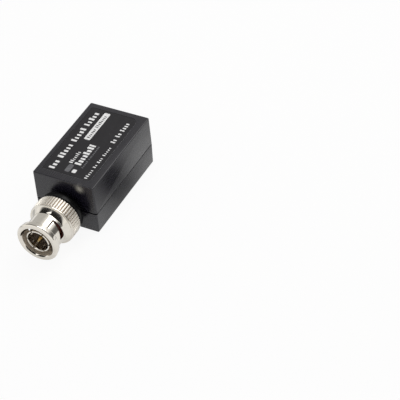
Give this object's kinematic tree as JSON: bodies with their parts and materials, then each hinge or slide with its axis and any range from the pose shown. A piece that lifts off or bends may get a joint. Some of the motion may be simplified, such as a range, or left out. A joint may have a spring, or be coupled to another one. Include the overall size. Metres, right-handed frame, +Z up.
{
  "type": "active video balun",
  "caption": "Small moulded box with a knurled bayonet video plug on its front and push terminals for paired wires at its rear.",
  "frame": {"origin": "middle of the part's footprint box, on the base that it rests on", "axes": "+Z up, -Y along the video plug towards its mouth, +Y to the rear terminals, +X to the right seen from the plug's front with the label up"},
  "size_m": [0.0206, 0.0524, 0.0177],
  "materials": {
    "case_plastic": "satin moulded ABS",
    "label_film": "printed film",
    "collar_plastic": "gloss moulded plastic",
    "nickel": "nickel plated brass",
    "gold": "gold plated brass",
    "spring_steel": "bright spring steel",
    "red_rubber": "silicone rubber",
    "insulator_plastic": "moulded plastic",
    "board": "solder resist on glass board",
    "chip_black": "moulded epoxy",
    "capacitor_can": "aluminium can",
    "ferrite": "sintered ferrite",
    "copper_wire": "enamelled copper",
    "arrester_ceramic": "ceramic barrel",
    "chip_ceramic": "fired ceramic",
    "tin_plate": "tin plated brass",
    "block_plastic": "moulded nylon",
    "button_plastic": "moulded plastic",
    "screw_steel": "blackened steel",
    "foot_rubber": "rubber pad"
  },
  "bodies": {
    "housing": {"upper_case": "case_plastic", "lower_case": "case_plastic", "label_sticker": "label_film", "case_screws": "screw_steel", "case_feet": "foot_rubber", "front_collar": "collar_plastic", "connector_body": "nickel", "contact_sleeve": "nickel", "gasket": "red_rubber", "insulator": "insulator_plastic", "centre_pin": "gold", "retaining_ring": "spring_steel", "wave_washer": "spring_steel", "circuit_board": "board", "terminal_block": "block_plastic", "terminal_contacts": "tin_plate", "driver_chip": "chip_black", "voltage_regulator": "chip_black", "power_diode": "chip_black", "electrolytic_capacitor": "capacitor_can", "choke_core": "ferrite", "choke_winding": "copper_wire", "surge_arrester": "arrester_ceramic", "chip_resistors": "chip_ceramic", "chip_capacitors": "chip_ceramic", "clamp_spring_1": "spring_steel", "clamp_spring_2": "spring_steel", "clamp_spring_3": "spring_steel", "clamp_spring_4": "spring_steel"},
    "nut_washer": {"thrust_washer": "spring_steel"},
    "nut": {"coupling_nut": "nickel"},
    "button_1": {"push_button_1": "button_plastic"},
    "button_2": {"push_button_2": "button_plastic"},
    "button_3": {"push_button_3": "button_plastic"},
    "button_4": {"push_button_4": "button_plastic"}
  },
  "joints": [
    {"name": "nut_slide", "type": "slide", "parent": "housing", "child": "nut_washer", "axis": [0, -1, 0], "range_m": [0, 0.0005], "stiffness_N_per_m": 400, "springref_m": -0.001, "deforming": ["wave_washer"]},
    {"name": "nut_spin", "type": "hinge", "parent": "nut_washer", "child": "nut", "pos_m": [0, -0.0191, 0.00765], "axis": [0, -1, 0], "continuous": true},
    {"name": "button_press_1", "type": "slide", "parent": "housing", "child": "button_1", "axis": [0, -1, 0], "range_m": [0, 0.0016], "stiffness_N_per_m": 4, "springref_m": -0.004, "deforming": ["clamp_spring_1"]},
    {"name": "button_press_2", "type": "slide", "parent": "housing", "child": "button_2", "axis": [0, -1, 0], "range_m": [0, 0.0016], "stiffness_N_per_m": 4, "springref_m": -0.004, "deforming": ["clamp_spring_2"]},
    {"name": "button_press_3", "type": "slide", "parent": "housing", "child": "button_3", "axis": [0, -1, 0], "range_m": [0, 0.0016], "stiffness_N_per_m": 4, "springref_m": -0.004, "deforming": ["clamp_spring_3"]},
    {"name": "button_press_4", "type": "slide", "parent": "housing", "child": "button_4", "axis": [0, -1, 0], "range_m": [0, 0.0016], "stiffness_N_per_m": 4, "springref_m": -0.004, "deforming": ["clamp_spring_4"]}
  ]
}
